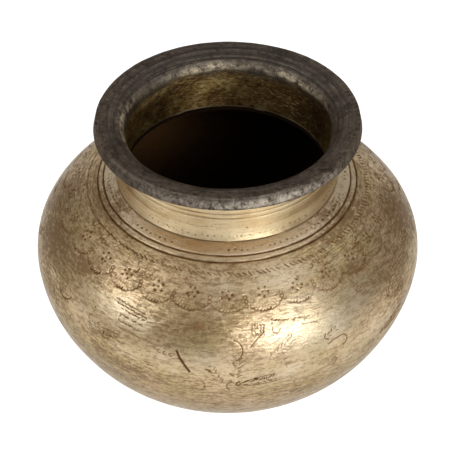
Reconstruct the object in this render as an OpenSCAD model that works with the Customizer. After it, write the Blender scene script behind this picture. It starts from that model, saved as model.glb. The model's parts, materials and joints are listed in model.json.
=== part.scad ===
// Squat, round water pot of hammered brass: a heavy everted lip on a short turned neck, brazed onto
// a two-part body. Every piece is a solid of revolution about Z. Z = 0 is the flat the pot rests on.
// All lengths are in millimetres.

/* [Body] */
// Diameter of the body at its widest
body_d = 220; // [210:2:230]
// Height of the widest circle above the rest face
belly_z = 86.5; // [84:0.5:88]
// Height of the shoulder's dome above the widest circle, were it closed
dome_h = 62.7; // [60:0.1:65]
// Depth of the bowl below the widest circle, were it closed
bowl_h = 98.5; // [97:0.5:104]
// Power of the bowl's outline: 2 is an ellipse, less is more pointed
bowl_power = 1.8; // [1.75:0.05:2]
// Thickness of the hammered sheet
wall = 2.2; // [1.6:0.1:3]
// How far the flat underneath lies in from where the bowl would meet the ground
base_ease = 6; // [4:0.5:8]
// Extra thickness of the flat underneath
base_extra = 0.6; // [0:0.1:1.5]

/* [Belly seam] */
// Height of the seam between the two halves of the body
seam_z = 73; // [64:1:76]
// Thickness of the brazed joint
belly_braze_h = 0.5; // [0.3:0.1:1]

/* [Neck] */
// Radius of the throat, the narrowest part of the opening
throat_r = 56.5; // [54:0.5:57]
// Outer radius of the neck
neck_r = 60; // [59:0.5:61]
// Outer radius of the neck's foot, where it laps the shoulder
foot_r = 61.8; // [61.2:0.1:64]
// Height over which the foot flares out
foot_h = 7; // [4:0.5:9]
// Height of the joint between neck and lip
neck_top_z = 160; // [158:1:162]
// Thickness of the brazed joint under the neck
neck_braze_h = 0.5; // [0.3:0.1:1]
// How far that joint lies back from the foot's edge
neck_braze_inset = 0.6; // [0.2:0.1:1.2]
// Height of the lower turned groove round the neck
neck_groove_z = 152.4; // [151:0.1:153]
// Distance between the two turned grooves
neck_groove_gap = 3; // [2:0.1:4]

/* [Shoulder rings] */
// Radius of the inner scribed ring on the shoulder
ring_inner_r = 69.6; // [67:0.1:71]
// Radius of the outer scribed ring
ring_outer_r = 72.8; // [72.2:0.1:76]

/* [Lip] */
// Outer radius of the lip at its lower edge
lip_r = 73.2; // [71:0.2:76]
// How far the lip's outer face leans in towards its top
lip_lean = 1.2; // [0.6:0.1:2]
// Height of the lip's top edge, the highest point
lip_top_z = 176; // [175:0.5:178]
// Height of the lip's outer face
lip_face_h = 6.2; // [5:0.1:8]
// Radius of the round from the top into the throat
mouth_round = 10.5; // [8:0.5:11]
// How much lower the top is at its inner edge than at its outer edge
lip_dish = 0.5; // [0.1:0.1:1.5]
// Radius of the lip's outer edges
lip_edge_r = 0.9; // [0.4:0.1:1.2]

/* [Hidden] */
$fn = 180;

groove_r = 0.5;  // half the width of a scribed or turned groove
foot_lip = 0.8;  // height of the foot's upright edge
arc_step = 4;    // degrees between the points of a curve
body_r = body_d / 2;
upper_seam_z = seam_z + belly_braze_h / 2;
lower_seam_z = seam_z - belly_braze_h / 2;

// Outer surface of the dome, and of the bowl, drawn in by an inset for the inner surface
function dome_z(r) = belly_z + dome_h * sqrt(1 - pow(r / body_r, 2));
function bowl_r(z, inset = 0) =
    (body_r - inset) * pow(1 - pow((belly_z - z) / (bowl_h - inset), bowl_power), 1 / bowl_power);

// Angle, seen from the widest circle, at which the dome reaches a radius and the bowl a height
function dome_angle(r, inset = 0) = acos(r / (body_r - inset));
function bowl_angle(z, inset = 0) = asin(pow((belly_z - z) / (bowl_h - inset), bowl_power / 2));

// Evenly spaced angles from a0 to a1, about arc_step apart
function angles(a0, a1) = let (n = ceil(abs(a1 - a0) / arc_step)) [for (i = [0 : n]) a0 + (a1 - a0) * i / n];

// Points along the dome, along the bowl, and along a circular arc
function dome_arc(a0, a1, inset = 0) =
    [for (a = angles(a0, a1)) [(body_r - inset) * cos(a), belly_z + (dome_h - inset) * sin(a)]];
function bowl_arc(a0, a1, inset = 0) =
    [for (a = angles(a0, a1)) [(body_r - inset) * pow(cos(a), 2 / bowl_power),
                               belly_z - (bowl_h - inset) * pow(sin(a), 2 / bowl_power)]];
function arc(c, r, a0, a1) = [for (a = angles(a0, a1)) c + r * [cos(a), sin(a)]];

// Points along a quarter ellipse that leaves p0 upright and reaches p1 level
function cove(p0, p1) =
    [for (a = angles(0, 90)) [p0[0] + (p1[0] - p0[0]) * (1 - cos(a)), p0[1] + (p1[1] - p0[1]) * sin(a)]];

// Points along the curve that starts towards p1 at p0 and arrives from p1 at p2
function ease(p0, p1, p2) =
    [for (t = [0 : 0.125 : 1]) (1 - t) * (1 - t) * p0 + 2 * t * (1 - t) * p1 + t * t * p2];

// Height of the straight seat on the shoulder that carries the neck
function seat_z(r) =
    dome_z(foot_r) + (foot_r - r) * (dome_z(throat_r) - dome_z(foot_r)) / (foot_r - throat_r);

// A groove of round section, cut into an outline at a point
module groove(p) {
    translate(p) circle(r = groove_r, $fn = 32);
}

// Heavy everted lip: a flat top, an upright outer face and a hollow underside
module mouth_rim() {
    lower_edge = [lip_r - lip_edge_r, lip_top_z - lip_face_h];
    upper_edge = [lip_r - lip_lean - lip_edge_r, lip_top_z - lip_edge_r];
    mouth_c = [throat_r + mouth_round, lip_top_z - lip_dish - mouth_round];
    color("dimgray") rotate_extrude() polygon(concat(
        [[throat_r, neck_top_z]],
        cove([neck_r, neck_top_z], lower_edge - [0, lip_edge_r]),
        arc(lower_edge, lip_edge_r, -70, 10),
        arc(upper_edge, lip_edge_r, 10, 90),
        arc(mouth_c, mouth_round, 90, 180)
    ));
}

// Turned collar, with two fine grooves and a foot that laps the shoulder
module neck_collar() {
    foot_z = seat_z(foot_r) + neck_braze_h;
    color("burlywood") rotate_extrude() difference() {
        polygon(concat(
            [[throat_r, neck_top_z], [throat_r, seat_z(throat_r) + neck_braze_h], [foot_r, foot_z]],
            ease([foot_r, foot_z + foot_lip], [neck_r, foot_z + foot_lip], [neck_r, foot_z + foot_h]),
            [[neck_r, neck_top_z]]
        ));
        for (z = [neck_groove_z, neck_groove_z + neck_groove_gap]) groove([neck_r, z]);
    }
}

// Brazed joint between the neck's foot and the shoulder, set back so that it shows as a dark line
module neck_braze() {
    edge_r = foot_r - neck_braze_inset;
    color("saddlebrown") rotate_extrude() polygon([
        [throat_r, seat_z(throat_r)],
        [edge_r, seat_z(edge_r)],
        [edge_r, seat_z(edge_r) + neck_braze_h],
        [throat_r, seat_z(throat_r) + neck_braze_h]
    ]);
}

// Upper part of the body, with two scribed rings round the neck
module shoulder_shell() {
    color("darkkhaki") rotate_extrude() difference() {
        polygon(concat(
            [[throat_r, seat_z(throat_r)]],
            dome_arc(dome_angle(foot_r), 0),
            bowl_arc(arc_step, bowl_angle(upper_seam_z)),
            bowl_arc(bowl_angle(upper_seam_z, wall), arc_step, wall),
            dome_arc(0, dome_angle(throat_r, wall), wall)
        ));
        for (r = [ring_inner_r, ring_outer_r]) groove([r, dome_z(r)]);
    }
}

// Brazed joint round the belly
module belly_braze() {
    color("peru") rotate_extrude() polygon([
        [bowl_r(upper_seam_z), upper_seam_z],
        [bowl_r(lower_seam_z), lower_seam_z],
        [bowl_r(lower_seam_z, wall), lower_seam_z],
        [bowl_r(upper_seam_z, wall), upper_seam_z]
    ]);
}

// Lower part of the body, flattened underneath so that the pot stands
module base_bowl() {
    ease_r = bowl_r(base_ease);
    slope = bowl_r(base_ease + 1) - ease_r;
    floor_z = wall + base_extra;
    color("tan") rotate_extrude() polygon(concat(
        bowl_arc(bowl_angle(lower_seam_z), bowl_angle(base_ease)),
        ease([ease_r, base_ease], [ease_r - slope * base_ease, 0], [bowl_r(0) - base_ease, 0]),
        [[0, 0], [0, floor_z]],
        bowl_arc(bowl_angle(floor_z, wall), bowl_angle(lower_seam_z, wall), wall)
    ));
}

mouth_rim();
neck_collar();
shoulder_shell();
base_bowl();
neck_braze();
belly_braze();
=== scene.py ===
import json
import math

import bmesh
import bpy
import numpy as np
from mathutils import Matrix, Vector


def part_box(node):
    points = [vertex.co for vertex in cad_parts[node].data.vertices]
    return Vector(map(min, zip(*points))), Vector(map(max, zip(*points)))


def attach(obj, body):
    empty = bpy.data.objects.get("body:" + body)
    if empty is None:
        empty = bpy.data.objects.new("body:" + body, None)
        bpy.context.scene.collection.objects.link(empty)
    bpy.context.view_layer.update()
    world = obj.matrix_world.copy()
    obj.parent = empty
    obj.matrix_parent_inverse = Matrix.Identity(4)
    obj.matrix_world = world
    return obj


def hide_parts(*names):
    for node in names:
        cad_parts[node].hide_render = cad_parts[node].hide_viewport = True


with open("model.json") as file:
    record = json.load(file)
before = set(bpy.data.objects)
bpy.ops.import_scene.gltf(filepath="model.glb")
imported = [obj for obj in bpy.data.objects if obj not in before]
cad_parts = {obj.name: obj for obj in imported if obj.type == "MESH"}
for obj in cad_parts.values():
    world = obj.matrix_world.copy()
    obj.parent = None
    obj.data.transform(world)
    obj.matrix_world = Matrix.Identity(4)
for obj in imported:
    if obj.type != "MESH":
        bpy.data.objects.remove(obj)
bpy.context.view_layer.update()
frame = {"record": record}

MM = 0.001
TURN = 360.0
rng = np.random.default_rng(21)
between = rng.uniform
around = rng.normal


# ---- sizes, in millimetres
def high(node):
    return np.array(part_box(node)[1]) / MM


def low(node):
    return np.array(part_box(node)[0]) / MM


BODY_R = round(high("shoulder_shell")[0], 1)
BELLY_Z = 86.5  # height of the widest circle
DOME_H = 62.7  # height of the closed dome above it
BOWL_H = 98.5  # depth of the closed bowl below it
BOWL_POWER = 1.8  # 2 is an ellipse; less is flatter at the side
WALL = 2.2
FLOOR_WALL = 2.8
BASE_EASE = 6.0  # height at which the bowl turns into its flat
UPPER_SEAM_Z = low("shoulder_shell")[2]
LOWER_SEAM_Z = high("base_bowl")[2]
THROAT_R = next(m for m in frame["record"]["mounts"] if m["name"] == "throat")["dims"]["r_mm"]
FOOT_R = round(high("neck_collar")[0], 1)
NECK_R = 60.0
NECK_TOP_Z = low("mouth_rim")[2]
LIP_TOP_Z = high("mouth_rim")[2]
LIP_R = round(high("mouth_rim")[0], 1)
LIP_LEAN = 1.2  # how far the filed face leans in at its top
LIP_FACE_H = 6.2
LIP_EDGE_R = 0.9
LIP_DISH = 0.5  # how far the lip's top falls towards the mouth
MOUTH_ROUND = 10.5  # radius of the roll from the lip's top into the throat
BRAZE_H = 0.5
BRAZE_INSET = 0.6  # how far the solder is set back under the neck's foot
GAP_ANGLE = 68  # where the neck's foot lifts off the shoulder
GAP_LIFT = 0.9
NECK_GROOVES_Z = (152.4, 155.4)
NECK_DOTS_Z = 141.4

# Distances along the shoulder, from the neck's foot.
RING_ALONG = (8.2, 11.7)  # the two scribed rings
DOTS_ALONG = 4.6
DOT_SPANS = ((-88, -60), (-46, -24), (1, 14), (20, 70), (84, 150), (172, 262))
DASHES_ALONG = 18.3
SCROLLS_ALONG = 21.6
FLOWERS_ALONG = 29.2
CUSPS_ALONG = 33.4  # where the scallops hang from
SCALLOPS_ALONG = 37.9  # how far down they hang
EDGE_NICKS_ALONG = 88.7

# Mesh resolution: points round the pot, and their spacing where nobody looks.
SHOULDER_COLUMNS = 1320
LIP_COLUMNS = 1080
COLLAR_COLUMNS = 900
PLAIN_COLUMNS = 720
INSIDE_STEP = 4.0
BOWL_LINES_FROM = 250  # so that the bowl's brushed lines differ from the shoulder's


# ---- smooth noise in space
def noise(points, scale, seed):
    """Smooth noise from -1 to 1 at points (N, 3) in mm, with features about scale mm across."""
    table = np.random.default_rng(seed).random((32, 32, 32))
    cell = points / scale + 1000.0
    base = np.floor(cell).astype(int)
    part = cell - base
    part = part * part * (3 - 2 * part)
    total = np.zeros(len(points))
    for corner in np.ndindex(2, 2, 2):
        index = (base + corner) % 32
        weight = np.prod(np.where(corner, part, 1 - part), axis=1)
        total += weight * table[index[:, 0], index[:, 1], index[:, 2]]
    return total * 2 - 1


def ring_noise(angles, lobes, seed):
    """Smooth noise from -1 to 1 round a circle, with about that many lobes. Angles are in degrees."""
    radius = lobes / math.pi
    turn = np.radians(angles)
    points = np.stack([radius * np.cos(turn), radius * np.sin(turn), np.zeros_like(turn)], axis=-1)
    return noise(points.reshape(-1, 3), 1.0, seed).reshape(np.shape(angles))


# ---- outlines
def evenly(step, *parts):
    """One open outline through all the parts, with points step mm apart."""
    points = np.concatenate(parts).astype(float)
    run = np.concatenate([[0.0], np.cumsum(np.hypot(*np.diff(points, axis=0).T))])
    count = max(2, int(round(run[-1] / step)) + 1)
    at = np.linspace(0, run[-1], count)
    return np.stack([np.interp(at, run, points[:, 0]), np.interp(at, run, points[:, 1])], axis=1)


def dome_outline(start_r, inset=0.0):
    """From start_r down to the widest circle."""
    start = math.acos(start_r / (BODY_R - inset))
    angle = np.linspace(start, 0, 200)
    return np.stack([(BODY_R - inset) * np.cos(angle), BELLY_Z + (DOME_H - inset) * np.sin(angle)], axis=1)


def bowl_outline(start_z, end_z, inset=0.0):
    """From one height below the widest circle down to another."""
    drops = [(BELLY_Z - z) / (BOWL_H - inset) for z in (start_z, end_z)]
    span = [math.asin(drop ** (BOWL_POWER / 2)) for drop in drops]
    angle = np.linspace(*span, 300)
    bend = 2 / BOWL_POWER
    return np.stack([(BODY_R - inset) * np.cos(angle) ** bend,
                     BELLY_Z - (BOWL_H - inset) * np.sin(angle) ** bend], axis=1)


def arc_outline(centre, radius, start, end):
    """An arc between two angles in degrees, from +r towards +z."""
    angle = np.radians(np.linspace(start, end, 40))
    return np.stack([centre[0] + radius * np.cos(angle), centre[1] + radius * np.sin(angle)], axis=1)


def ease_outline(p0, p1, p2):
    """A curve from p0 to p2 that starts and ends towards the corner p1."""
    t = np.linspace(0, 1, 30)[:, None]
    return (1 - t) ** 2 * np.array(p0) + 2 * t * (1 - t) * np.array(p1) + t ** 2 * np.array(p2)


def dome_z(r):
    return BELLY_Z + DOME_H * math.sqrt(1 - (r / BODY_R) ** 2)


def seat_z(r):
    """Height of the straight seat on the shoulder that carries the neck."""
    return dome_z(FOOT_R) + (FOOT_R - r) * (dome_z(THROAT_R) - dome_z(FOOT_R)) / (FOOT_R - THROAT_R)


# ---- turned meshes
def in_scene(name, data):
    """A new object, linked to the scene."""
    item = bpy.data.objects.new(name, data)
    bpy.context.scene.collection.objects.link(item)
    return item


def join_axis(mesh):
    """Joins the points that lie on the axis, where the columns meet."""
    work = bmesh.new()
    work.from_mesh(mesh)
    on_axis = [v for v in work.verts if math.hypot(v.co.x, v.co.y) < 1e-7]
    bmesh.ops.remove_doubles(work, verts=on_axis, dist=1e-6)
    work.to_mesh(mesh)
    work.free()


class Turned:
    """A grid of points turned round Z: rows follow a closed outline, columns go round.

    The outline's stretches follow each other, and are known by name. Angle 0 faces -Y, and angles grow
    towards +X.
    """

    def __init__(self, columns, **stretches):
        rows = []
        self.rows = {}
        for name, points in stretches.items():
            first = len(rows)
            rows.extend(points.tolist())
            self.rows[name] = slice(first, len(rows))
        self.outline = np.array(rows)
        self.angles = np.arange(columns) * TURN / columns - TURN / 2
        shape = (len(rows), columns)
        self.out = np.zeros(shape)  # push along the normal, mm
        self.shift = np.zeros(shape + (3,))  # free shift, mm
        self.layers = {}
        before = np.roll(self.outline, 1, axis=0)
        after = np.roll(self.outline, -1, axis=0)
        tangent = after - before
        tangent /= np.maximum(np.linalg.norm(tangent, axis=1), 1e-9)[:, None]
        self.normal = np.stack([-tangent[:, 1], tangent[:, 0]], axis=1)
        r, z = self.outline.T
        self.climbs = np.sum(r * np.roll(z, -1) - np.roll(r, -1) * z) > 0  # goes up on its outer side
        if self.climbs:
            self.normal = -self.normal

    def layer(self, name):
        """Values at every point that the materials read by this name."""
        return self.layers.setdefault(name, np.zeros(self.out.shape))

    def fill(self, name, stretch, values=1.0):
        self.layer(name)[self.rows[stretch]] = values

    def raise_layer(self, name, rows, values):
        part = self.layer(name)
        part[rows] = np.maximum(part[rows], values)

    def measure(self, name):
        """Distance along one stretch, from its start, in mm."""
        part = self.outline[self.rows[name]]
        return np.concatenate([[0.0], np.cumsum(np.hypot(*np.diff(part, axis=0).T))])

    def points(self, rows=slice(None), out=0.0):
        """Points of some rows, pushed out along the normal, in mm, as a (rows, columns, 3) array."""
        turn = np.radians(self.angles)
        r, z = (self.outline[rows, axis, None] + self.normal[rows, axis, None] * out for axis in (0, 1))
        return np.stack([r * np.sin(turn), -r * np.cos(turn), z + np.zeros_like(turn)], axis=-1)

    def dents(self, rows, scale, seed):
        """Smooth noise over some rows, (rows, columns)."""
        points = self.points(rows)
        return noise(points.reshape(-1, 3), scale, seed).reshape(points.shape[:2])

    def build(self, name, node, material, strips=2, row_weight=None, close_axis=False):
        """Makes the piece that replaces a CAD node."""
        co = self.points(out=self.out) + self.shift
        n_rows, n_cols = self.out.shape
        row, col = np.meshgrid(np.arange(n_rows), np.arange(n_cols), indexing="ij")
        next_row, next_col = (row + 1) % n_rows, (col + 1) % n_cols
        corners = ((row, col), (row, next_col), (next_row, next_col), (next_row, col))
        quads = np.stack([a * n_cols + b for a, b in corners], axis=-1).reshape(-1, 4)
        if not self.climbs:  # so that every face looks outwards
            quads = quads[:, ::-1]
        mesh = bpy.data.meshes.new(name)
        mesh.vertices.add(co.size // 3)
        mesh.vertices.foreach_set("co", (co * MM).astype(np.float32).ravel())
        mesh.loops.add(quads.size)
        mesh.loops.foreach_set("vertex_index", quads.astype(np.int32).ravel())
        mesh.polygons.add(len(quads))
        mesh.polygons.foreach_set("loop_start", np.arange(0, quads.size, 4, dtype=np.int32))
        mesh.polygons.foreach_set("loop_total", np.full(len(quads), 4, dtype=np.int32))
        mesh.update(calc_edges=True)
        mesh.shade_smooth()
        self.add_layout(mesh, strips, row_weight)
        for layer_name, values in self.layers.items():
            data = mesh.attributes.new(layer_name, "FLOAT", "POINT")
            data.data.foreach_set("value", values.astype(np.float32).ravel())
        if close_axis:
            join_axis(mesh)
        mesh.set_sharp_from_angle(angle=math.radians(50))
        piece = in_scene(name, mesh)
        mesh.materials.append(material)
        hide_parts(node)
        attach(piece, "root")

    def add_layout(self, mesh, strips, row_weight):
        """Texture layout: the rows unrolled, cut into strips that are stacked up the map."""
        n_rows, n_cols = self.out.shape
        lengths = np.hypot(*(np.roll(self.outline, -1, axis=0) - self.outline).T)
        if row_weight is not None:
            lengths = lengths * row_weight
        edge = np.concatenate([[0.0], np.cumsum(lengths)]) / lengths.sum()
        per_strip = n_cols // strips
        row, col = np.meshgrid(np.arange(n_rows), np.arange(n_cols), indexing="ij")
        strip, inner = col // per_strip, col % per_strip
        margin = 0.004
        u0, u1 = inner / per_strip, (inner + 1) / per_strip
        v0, v1 = edge[row], edge[row + 1]
        u0, u1 = (margin + (1 - 2 * margin) * u for u in (u0, u1))
        v0, v1 = ((strip + margin + (1 - 2 * margin) * v) / strips for v in (v0, v1))
        uv = np.stack([np.stack([u0, v0], -1), np.stack([u1, v0], -1), np.stack([u1, v1], -1),
                       np.stack([u0, v1], -1)], axis=2).reshape(-1, 4, 2)
        if not self.climbs:
            uv = uv[:, ::-1]
        layer = mesh.uv_layers.new(name="OFBake")
        layer.data.foreach_set("uv", uv.astype(np.float32).ravel())


# ---- punched and scribed marks
class Relief:
    """Marks on one stretch of a turned grid, placed by angle in degrees and distance along it in mm."""

    def __init__(self, turned, name):
        self.turned = turned
        self.name = name
        self.along = turned.measure(name)
        self.radius = turned.outline[turned.rows[name], 0]
        self.angles = turned.angles
        shape = (len(self.along), len(self.angles))
        self.cut = np.zeros(shape)
        self.burr = np.zeros(shape)
        self.dark = np.zeros(shape)
        self.wear = np.ones(shape)

    def radius_at(self, along):
        return float(np.interp(along, self.along, self.radius))

    def stroke(self, angle, along, path, width, depth, dark=1.0, burr=0.18):
        """Cuts a groove along a path of (right, down) points in mm about a place on the surface."""
        path = np.atleast_2d(np.asarray(path, float))
        reach = 2.6 * width
        rows = np.flatnonzero((self.along >= along + path[:, 1].min() - reach)
                              & (self.along <= along + path[:, 1].max() + reach))
        if not len(rows):
            return
        r = self.radius_at(along)
        per_mm = math.degrees(1 / r)
        step = TURN / len(self.angles)
        first = math.floor((angle + (path[:, 0].min() - reach) * per_mm + TURN / 2) / step)
        last = math.ceil((angle + (path[:, 0].max() + reach) * per_mm + TURN / 2) / step)
        cols = np.arange(first, last + 1)
        right = ((cols * step - TURN / 2) - angle) / per_mm
        down = self.along[rows] - along
        x, y = np.meshgrid(right, down)
        away = np.full(x.shape, 1e9)
        ends = path[1:] if len(path) > 1 else path
        for (ax, ay), (bx, by) in zip(path, ends):
            dx, dy = bx - ax, by - ay
            size = dx * dx + dy * dy
            t = np.clip(((x - ax) * dx + (y - ay) * dy) / size, 0, 1) if size > 0 else 0.0
            away = np.minimum(away, np.hypot(x - ax - t * dx, y - ay - t * dy))
        place = np.ix_(rows, cols % len(self.angles))
        keep = self.wear[place]
        cut = np.exp(-(away / width) ** 2 * 1.4)
        lip = np.exp(-((away - 1.5 * width) / (0.55 * width)) ** 2)
        self.cut[place] = np.maximum(self.cut[place], cut * depth * keep)
        self.burr[place] = np.maximum(self.burr[place], lip * depth * burr * keep)
        self.dark[place] = np.maximum(self.dark[place], np.minimum(1, cut * 1.25) * dark * keep)

    def ring_groove(self, along, width, depth, wander, seed, dark=1.0):
        """A scribed line all the way round, which wanders a little."""
        wave = ring_noise(self.angles, 5, seed) + 0.3 * ring_noise(self.angles, 40, seed + 1)
        centre = along + wander * wave
        away = np.abs(self.along[:, None] - centre[None, :])
        strength = 1 + 0.25 * ring_noise(self.angles, 60, seed + 2)[None, :]
        cut = np.exp(-(away / width) ** 2 * 1.4)
        self.cut = np.maximum(self.cut, cut * depth * strength)
        self.dark = np.maximum(self.dark, np.minimum(1, cut * 1.2) * dark * strength)

    def apply(self):
        """Cuts the marks into the turned grid, and darkens them."""
        rows = self.turned.rows[self.name]
        self.turned.out[rows] += self.burr * (self.cut < 0.5 * self.cut.max()) - self.cut
        self.turned.raise_layer("mark", rows, np.clip(self.dark, 0, 1))


def bend(centre, radius, start, sweep, count=8):
    """Points along a small arc, (right, down) in mm."""
    turn = np.radians(np.linspace(start, start + sweep, count))
    return np.stack([radius * np.cos(turn), radius * np.sin(turn)], axis=1) + np.array(centre)


def turned_path(path, degrees):
    """The same path, turned from right towards down."""
    c, s = math.cos(math.radians(degrees)), math.sin(math.radians(degrees))
    return np.atleast_2d(path) @ np.array([[c, s], [-s, c]])


def dot_row(relief, along, pitch, size, depth, spans, drift=0.25, dark=0.9):
    """Punched dots in a row, over spans of (first, last) angle."""
    step = math.degrees(pitch / relief.radius_at(along))
    for first, last in spans:
        for angle in np.arange(first, last, step):
            here = angle + around(0, 0.12) * step
            strength = between(0.55, 1.15)
            relief.stroke(here, along + around(0, drift), [(0, 0)], size * between(0.8, 1.15),
                          depth * strength, dark * min(1, strength))


def dash_row(relief, along, pitch, length, lean, width, depth, dark=0.8):
    """Short slanted strokes all the way round."""
    count = int(2 * math.pi * relief.radius_at(along) / pitch)
    for i in range(count):
        angle = -TURN / 2 + TURN * (i + around(0, 0.08)) / count
        half = length / 2 * between(0.75, 1.15)
        slant = lean + 30 * math.sin(math.radians(angle)) + around(0, 7)
        path = turned_path([(-half, 0), (half, 0)], slant)
        strength = between(0.45, 1.1)
        place = along + around(0, 0.18)
        relief.stroke(angle, place, path, width, depth * strength, dark * min(1, strength))


def flower(relief, angle, along, petals, radius, size, depth):
    """Punched dots round a centre dot."""
    start = between(0, 360)
    relief.stroke(angle, along, [(0, 0)], size * 0.8, depth * between(0.3, 1.0), 0.8)
    for i in range(petals):
        turn = math.radians(start + 360 * i / petals + around(0, 7))
        reach = radius * between(0.88, 1.1)
        at = (reach * math.cos(turn), reach * math.sin(turn))
        relief.stroke(angle, along, [at], size * between(0.8, 1.2), depth * between(0.6, 1.15),
                      between(0.75, 1.0))


def scallop(relief, left, right, cusp, bottom, punches, depth, dark, rays):
    """A hanging curve of small crescents between two cusps, with a ring punch at the left cusp."""
    r = relief.radius_at(cusp)
    half = math.radians(right - left) / 2 * r
    middle = (left + right) / 2
    for i in range(punches):
        t = -1 + 2 * (i + 0.5) / punches
        x = t * half * 0.94
        y = (bottom - cusp) * (1 - abs(t) ** 2.4) + around(0, 0.15)
        slope = math.degrees(math.atan2(-(bottom - cusp) * 2.4 * abs(t) ** 1.4 * np.sign(t), half))
        mark = turned_path(bend((0, 0), 1.0, 5, 130), slope + around(0, 12)) + np.array([x, y])
        strength = between(0.5, 1.1) * (1 - 0.4 * t * t)
        relief.stroke(middle, cusp, mark, 0.45, depth * strength, dark * min(1, strength))
        if rays and abs(t) < 0.85:
            inner = np.array([(x, y - 0.8), (x * 0.8, y - between(2.6, 5.0))])
            relief.stroke(middle, cusp, inner, 0.32, depth * 0.3, 0.25)
    ring = bend((0, 0), 0.95, 0, 360, 14)
    for lift in (0.2, 2.4):
        relief.stroke(left, cusp - lift, ring + around(0, 0.15, 2), 0.34, depth * 0.75, 0.7 * dark)


def sprig(relief, angle, along, length, lean, barbs, depth=0.22, spread=2.0):
    """A stem with short hatch strokes on both sides."""
    stem = turned_path([(0, 0), (length * 0.5, -length * 0.05), (length, 0)], lean)
    relief.stroke(angle, along, stem, 0.28, depth * 0.4, 0.25)
    for i in range(barbs):
        t = (i + 0.5) / barbs
        for side in (-1, 1):
            if rng.random() < 0.25:
                continue
            root = np.array([length * t + around(0, 0.4), side * 0.3 * spread])
            tip = root + np.array([spread * 0.6, side * spread * between(0.3, 0.9)])
            relief.stroke(angle, along, turned_path([root, tip], lean), 0.32, depth * between(0.3, 1.1),
                          between(0.45, 0.95))


def leaf(relief, angle, along, length, height, lean, depth=0.24, dark=0.85):
    """A pointed leaf: two lines that open to the right, with short strokes between them."""
    half = height / 2
    for side in (-1, 1):
        edge = [(-length / 2, 0), (-length / 4, side * half * 0.75),
                (length / 6, side * half), (length / 2, side * half)]
        relief.stroke(angle, along, turned_path(edge, lean), 0.36, depth * 0.6, 0.65 * dark)
    for x in np.arange(-0.35 * length, 0.5 * length, 1.2):
        for side in (-1, 1):
            slant = math.radians(side * 55 + around(0, 12))
            start = np.array([x, side * half * between(0.1, 0.5)])
            end = start + between(0.9, 1.6) * np.array([math.cos(slant), math.sin(slant)])
            relief.stroke(angle, along, turned_path([start, end], lean), 0.38, depth * between(0.4, 1.2),
                          dark * between(0.3, 1.0))


def hatch(relief, angle, along, width, height, lines, lean, depth=0.2):
    """A block of short strokes in lines."""
    for row in range(lines):
        y = height * row / max(1, lines - 1)
        for x in np.arange(0, width, 1.5):
            if rng.random() < 0.12:
                continue
            mark = turned_path([(-0.6, 0), (0.6, 0)], lean + around(0, 12))
            mark = mark + np.array([x + around(0, 0.15), y + 0.12 * x + around(0, 0.15)])
            relief.stroke(angle, along, mark, 0.34, depth * between(0.5, 1.2), between(0.45, 0.9))


def curl(relief, angle, along, radius, start, sweep, depth=0.2, dark=0.7):
    """An arc of one groove."""
    relief.stroke(angle, along, bend((0, 0), radius, start, sweep, 14), 0.36, depth, dark)


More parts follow.
